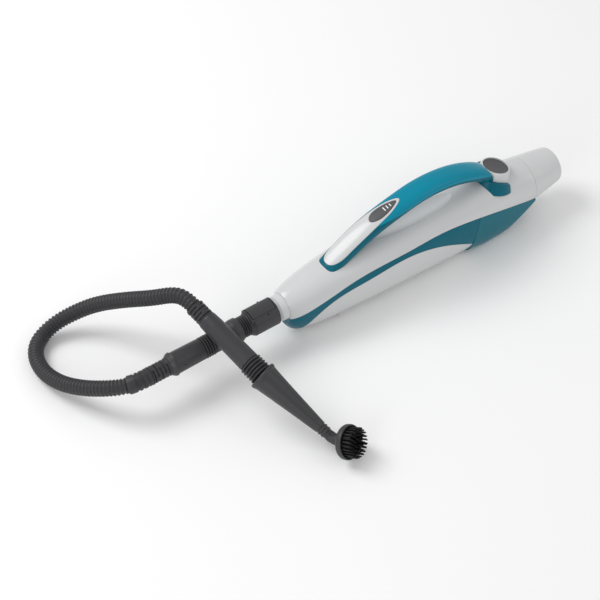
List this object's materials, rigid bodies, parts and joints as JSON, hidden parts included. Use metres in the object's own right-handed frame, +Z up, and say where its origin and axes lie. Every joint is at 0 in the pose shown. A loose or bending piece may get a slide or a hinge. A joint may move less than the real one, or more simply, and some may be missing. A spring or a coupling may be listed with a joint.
{
  "type": "steam mop hand unit",
  "caption": "Handheld steam unit with an arched handle, water tank, curved steam hose, wand, cone nozzle and small round brush.",
  "frame": {"origin": "middle of the flat rubber rest pad under the belly, at the rest plane", "axes": "+X from the steam outlet to the rear cap, +Y to the side away from the brush, +Z up from the rest plane"},
  "size_m": [0.6696, 0.3691, 0.1309],
  "materials": {
    "white_plastic": "gloss",
    "teal_plastic": "gloss",
    "deep_teal_plastic": "gloss",
    "teal_clear": "tinted clear plastic, gloss",
    "charcoal_plastic": "satin",
    "dark_grey_plastic": "satin",
    "black_rubber": "matte",
    "hose_rubber": "satin",
    "bristle": "satin",
    "white_mark": "matte",
    "spring_steel": "satin",
    "cast_alloy": "cast",
    "brass": "satin",
    "board": "matte",
    "inner_grey": "matte",
    "clear_tube": "satin"
  },
  "bodies": {
    "unit": {"upper_shell": "white_plastic", "lower_shell": "white_plastic", "side_band": "deep_teal_plastic", "outlet_neck": "white_plastic", "outlet_seals": "black_rubber", "rear_cap": "white_plastic", "pole_socket": "inner_grey", "water_tank": "teal_clear", "tank_bulkhead": "inner_grey", "filler_hinge_pin": "spring_steel", "handle_base": "deep_teal_plastic", "handle_grip": "teal_plastic", "handle_insert": "white_plastic", "micro_switch": "charcoal_plastic", "release_spring": "spring_steel", "lever_pin": "spring_steel", "rest_pads": "black_rubber", "shell_screws": "spring_steel", "lead_gland": "charcoal_plastic", "boiler": "cast_alloy", "boiler_cover": "cast_alloy", "heater_terminals": "brass", "thermostat": "brass", "thermal_fuse": "brass", "steam_tube": "clear_tube", "pump_body": "charcoal_plastic", "pump_mount": "black_rubber", "pump_tube": "clear_tube", "feed_tube": "clear_tube", "control_board": "board", "terminal_block": "inner_grey", "coupler": "charcoal_plastic", "latch_pin": "spring_steel", "coupler_bellows": "hose_rubber", "adapter_tube": "charcoal_plastic", "adapter_bellows": "hose_rubber", "hose_sleeve": "charcoal_plastic", "sleeve_collar": "charcoal_plastic", "hose_cuff_front": "hose_rubber", "steam_hose": "hose_rubber", "hose_cuff_rear": "hose_rubber", "wand_body": "charcoal_plastic", "wand_bellows": "hose_rubber", "cone_nozzle": "charcoal_plastic", "nozzle_elbow": "charcoal_plastic"},
    "steam_button": {"steam_button": "dark_grey_plastic", "level_marks": "white_mark"},
    "release_button": {"release_button": "dark_grey_plastic"},
    "lock_lever": {"lock_lever": "inner_grey"},
    "coupler_latch": {"coupler_latch": "charcoal_plastic"},
    "filler_cap": {"filler_cap": "charcoal_plastic", "filler_seal": "black_rubber"},
    "round_brush": {"brush_cup": "charcoal_plastic", "brush_bristles": "bristle"},
    "pump_plunger": {"pump_plunger": "spring_steel"}
  },
  "joints": [
    {"name": "steam_button_press", "type": "slide", "parent": "unit", "child": "steam_button", "axis": [0.3584, 0, -0.9336], "range_m": [0, 0.0018], "stiffness_N_per_m": 600, "springref_m": -0.001},
    {"name": "release_button_press", "type": "slide", "parent": "unit", "child": "release_button", "axis": [-0.2588, 0, -0.9659], "range_m": [0, 0.003], "stiffness_N_per_m": 700, "springref_m": -0.0015, "deforming": ["release_spring"]},
    {"name": "lock_lever_turn", "type": "hinge", "parent": "unit", "child": "lock_lever", "pos_m": [0.1835, 0, 0.0725], "axis": [0, -1, 0], "range_deg": [0, 10.4]},
    {"name": "coupler_latch_press", "type": "hinge", "parent": "unit", "child": "coupler_latch", "pos_m": [-0.164, 0, 0.0609], "axis": [0, -1, 0], "range_deg": [0, 2.5], "stiffness_Nm_per_rad": 0.4, "springref_deg": -3.44},
    {"name": "filler_cap_turn", "type": "hinge", "parent": "unit", "child": "filler_cap", "pos_m": [0.20435, 0, 0.02489], "axis": [0, -1, 0], "range_deg": [0, 105]},
    {"name": "brush_pull", "type": "slide", "parent": "unit", "child": "round_brush", "axis": [0.3832, -0.8225, 0.4203], "range_m": [0, 0.014]},
    {"name": "pump_stroke", "type": "slide", "parent": "unit", "child": "pump_plunger", "axis": [1, 0, 0], "range_m": [0, 0.002], "stiffness_N_per_m": 400, "springref_m": -0.001}
  ],
  "couplings": [
    {"joint": "lock_lever_turn", "follows": "release_button_press", "rad_per_m": 60}
  ]
}
